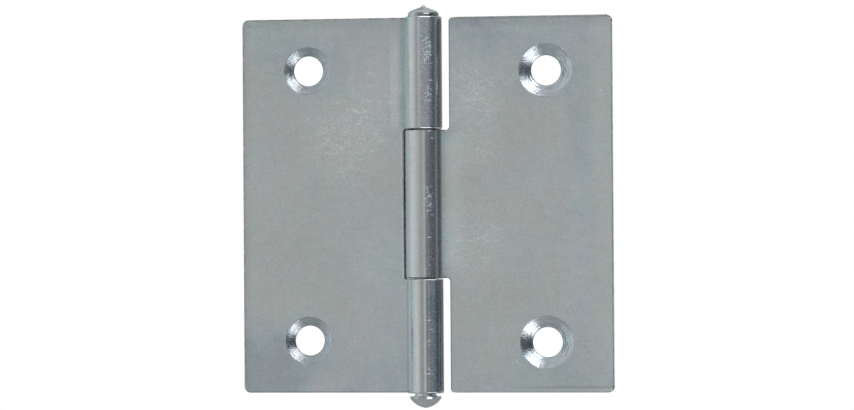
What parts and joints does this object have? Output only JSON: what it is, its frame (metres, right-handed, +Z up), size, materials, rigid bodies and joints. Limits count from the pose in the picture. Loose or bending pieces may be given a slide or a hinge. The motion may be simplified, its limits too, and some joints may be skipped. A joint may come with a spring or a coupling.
{
  "type": "furniture hinge",
  "caption": "Square butt hinge of zinc-plated sheet steel: two countersunk leaves with rolled knuckles turn on a headed pin.",
  "frame": {"origin": "on the pin axis, halfway up the leaves", "axes": "+Z up along the pin, +X towards the right leaf as seen from the countersunk side, +Y towards the surface that the leaves are screwed to"},
  "size_m": [0.06, 0.0059, 0.0642],
  "materials": {
    "zinc_leaf": "zinc-plated sheet steel, satin, faintly bluish, with fine handling marks",
    "zinc_pin": "zinc-plated steel wire, satin, headed at both ends"
  },
  "bodies": {
    "left_leaf": {"left_leaf": "zinc_leaf", "pin": "zinc_pin"},
    "right_leaf": {"right_leaf": "zinc_leaf"}
  },
  "joints": [
    {"name": "leaf_swing", "type": "hinge", "parent": "left_leaf", "child": "right_leaf", "pos_m": [0, 0, 0], "axis": [0, 0, -1], "range_deg": [-100, 186]}
  ]
}
